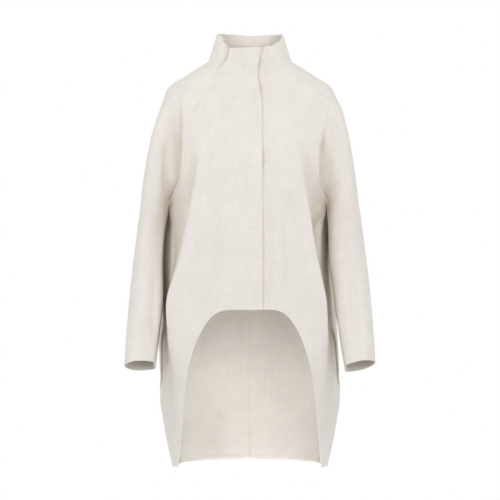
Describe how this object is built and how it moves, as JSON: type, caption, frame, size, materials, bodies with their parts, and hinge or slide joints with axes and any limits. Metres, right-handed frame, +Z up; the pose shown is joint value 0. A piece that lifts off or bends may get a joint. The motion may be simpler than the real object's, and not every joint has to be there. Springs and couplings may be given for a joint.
{
  "type": "coat",
  "caption": "Cocoon coat in thick ivory wool with raglan sleeves, a funnel collar, a concealed lapped front, side seam pockets and an arched front hem over a longer back.",
  "frame": {"origin": "midway between the two neck points, at the height of the shoulder line where the wearer's shoulders carry the coat", "axes": "+Z up along the hanging coat, -Y out of the front, +X to the wearer's left"},
  "size_m": [0.5749, 0.3529, 1.0138],
  "materials": {
    "ivory_wool": "matt, softly brushed double-faced wool"
  },
  "bodies": {
    "root": {"front_right": "ivory_wool", "front_left": "ivory_wool", "back_right": "ivory_wool", "back_left": "ivory_wool", "sleeve_right_front": "ivory_wool", "sleeve_right_back": "ivory_wool", "sleeve_left_front": "ivory_wool", "sleeve_left_back": "ivory_wool", "collar": "ivory_wool", "pocket_right": "ivory_wool", "pocket_left": "ivory_wool"}
  },
  "joints": []
}
